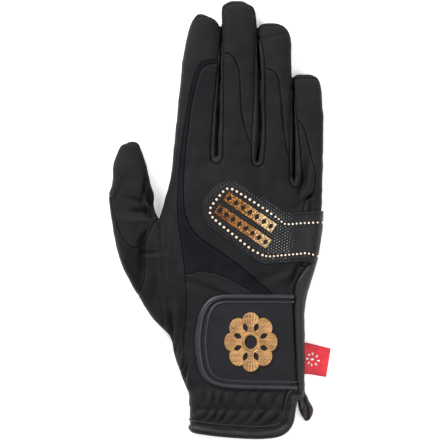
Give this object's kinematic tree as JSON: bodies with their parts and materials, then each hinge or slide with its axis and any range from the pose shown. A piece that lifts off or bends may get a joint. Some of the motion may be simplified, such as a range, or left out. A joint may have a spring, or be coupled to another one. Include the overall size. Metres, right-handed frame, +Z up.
{
  "type": "horse riding glove",
  "caption": "Right-hand riding glove lying palm down: suede palm, stretch cloth back, knuckle patch edged with small stones, hook-and-loop wrist tab, gathered cuff with a bound hem.",
  "frame": {"origin": "middle of the footprint, on the surface that the glove lies on", "axes": "+Y from the hem to the fingertips, +X from the thumb side to the little-finger side, +Z up out of the back of the hand"},
  "size_m": [0.1222, 0.2406, 0.0182],
  "materials": {
    "cloth": "woven stretch cloth on the back of the hand",
    "cloth_soft": "soft cloth over the fingertips",
    "stretch": "thin stretch cloth",
    "suede": "soft suede palm",
    "ridge": "rolled gusset edge",
    "cuff": "gathered cloth at the wrist",
    "binding": "satin binding tape",
    "tab": "hook-and-loop tab",
    "gold": "raised gold thread ornament",
    "glitter": "gold glitter print",
    "patch": "dotted rubbery patch",
    "crystal": "cut stones in a gold-coloured setting",
    "lobe": "dark brown leather end",
    "label": "woven satin label"
  },
  "bodies": {
    "root": {"palm_panel": "suede", "back_panel": "cloth", "flex_strip": "stretch", "index_panel": "cloth_soft", "middle_panel": "cloth_soft", "ring_panel": "cloth_soft", "little_panel": "cloth_soft", "fourchette_index_middle": "ridge", "fourchette_middle_ring": "ridge", "fourchette_ring_little": "ridge", "thumb_back": "cloth_soft", "thumb_palm": "suede", "wrist_panel": "cuff", "hem_binding": "binding", "side_roll": "suede", "closure_tab": "tab", "tab_binding": "binding", "tab_rosette": "gold", "knuckle_patch": "patch", "glitter_row_upper": "glitter", "glitter_row_lower": "glitter", "crystal_trim": "crystal", "hem_lobe": "lobe", "side_label": "label"}
  },
  "joints": []
}
